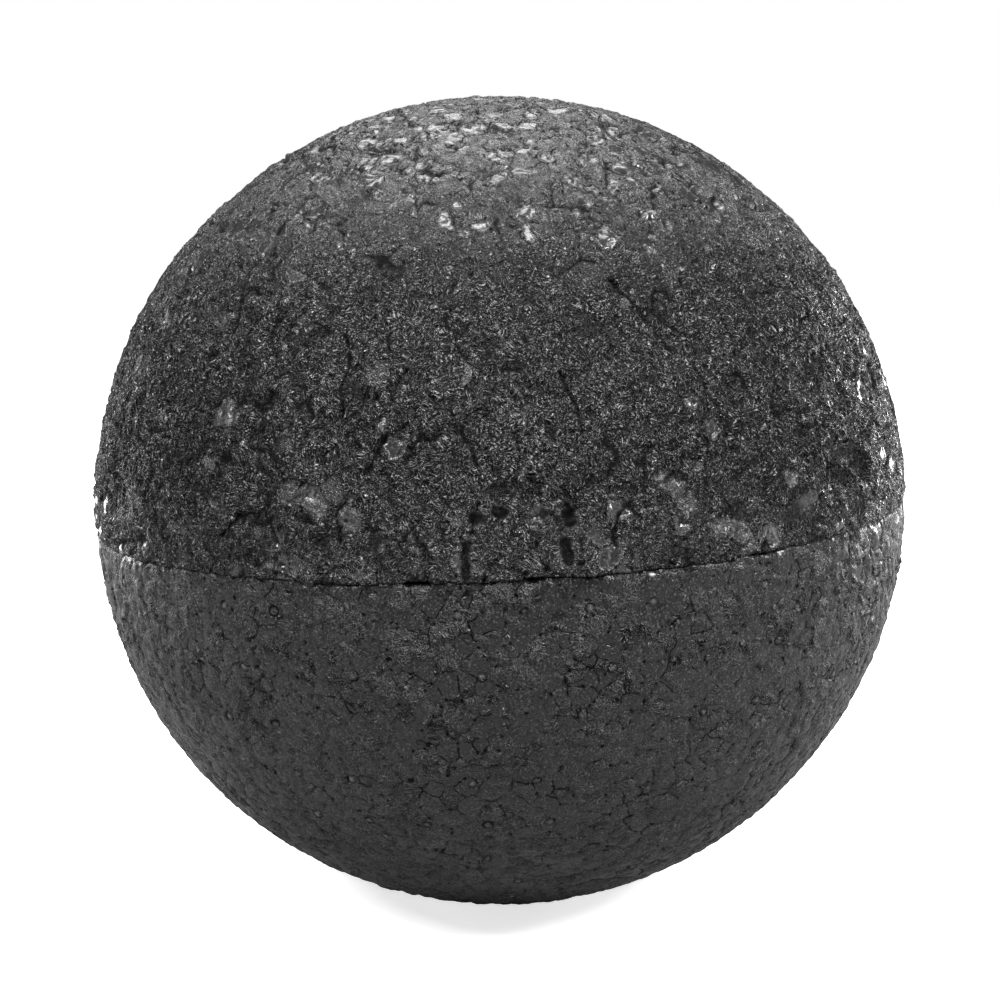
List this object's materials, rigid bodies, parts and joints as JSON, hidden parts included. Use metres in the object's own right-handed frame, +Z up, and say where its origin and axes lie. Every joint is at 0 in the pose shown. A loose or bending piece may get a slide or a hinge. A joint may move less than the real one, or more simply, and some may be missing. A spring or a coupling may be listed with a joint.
{
  "type": "massage ball",
  "caption": "Solid black bead-foam massage ball in two bonded halves with a seam round the middle and a small flat to rest on.",
  "frame": {"origin": "centre of the small flat at the bottom of the ball, which is the lowest point", "axes": "+Z up through the middle of both halves, square to the seam; the ball is round about Z, so X and Y only fix a front: -Y"},
  "size_m": [0.12, 0.12, 0.1196],
  "materials": {
    "lower_foam": "smooth moulded bead-foam skin with bead outlines, pits and vent marks",
    "adhesive": "cured adhesive film",
    "upper_foam": "rough crinkled moulded bead-foam skin"
  },
  "bodies": {
    "root": {"lower_half": "lower_foam", "bond_film": "adhesive", "upper_half": "upper_foam"}
  },
  "joints": []
}
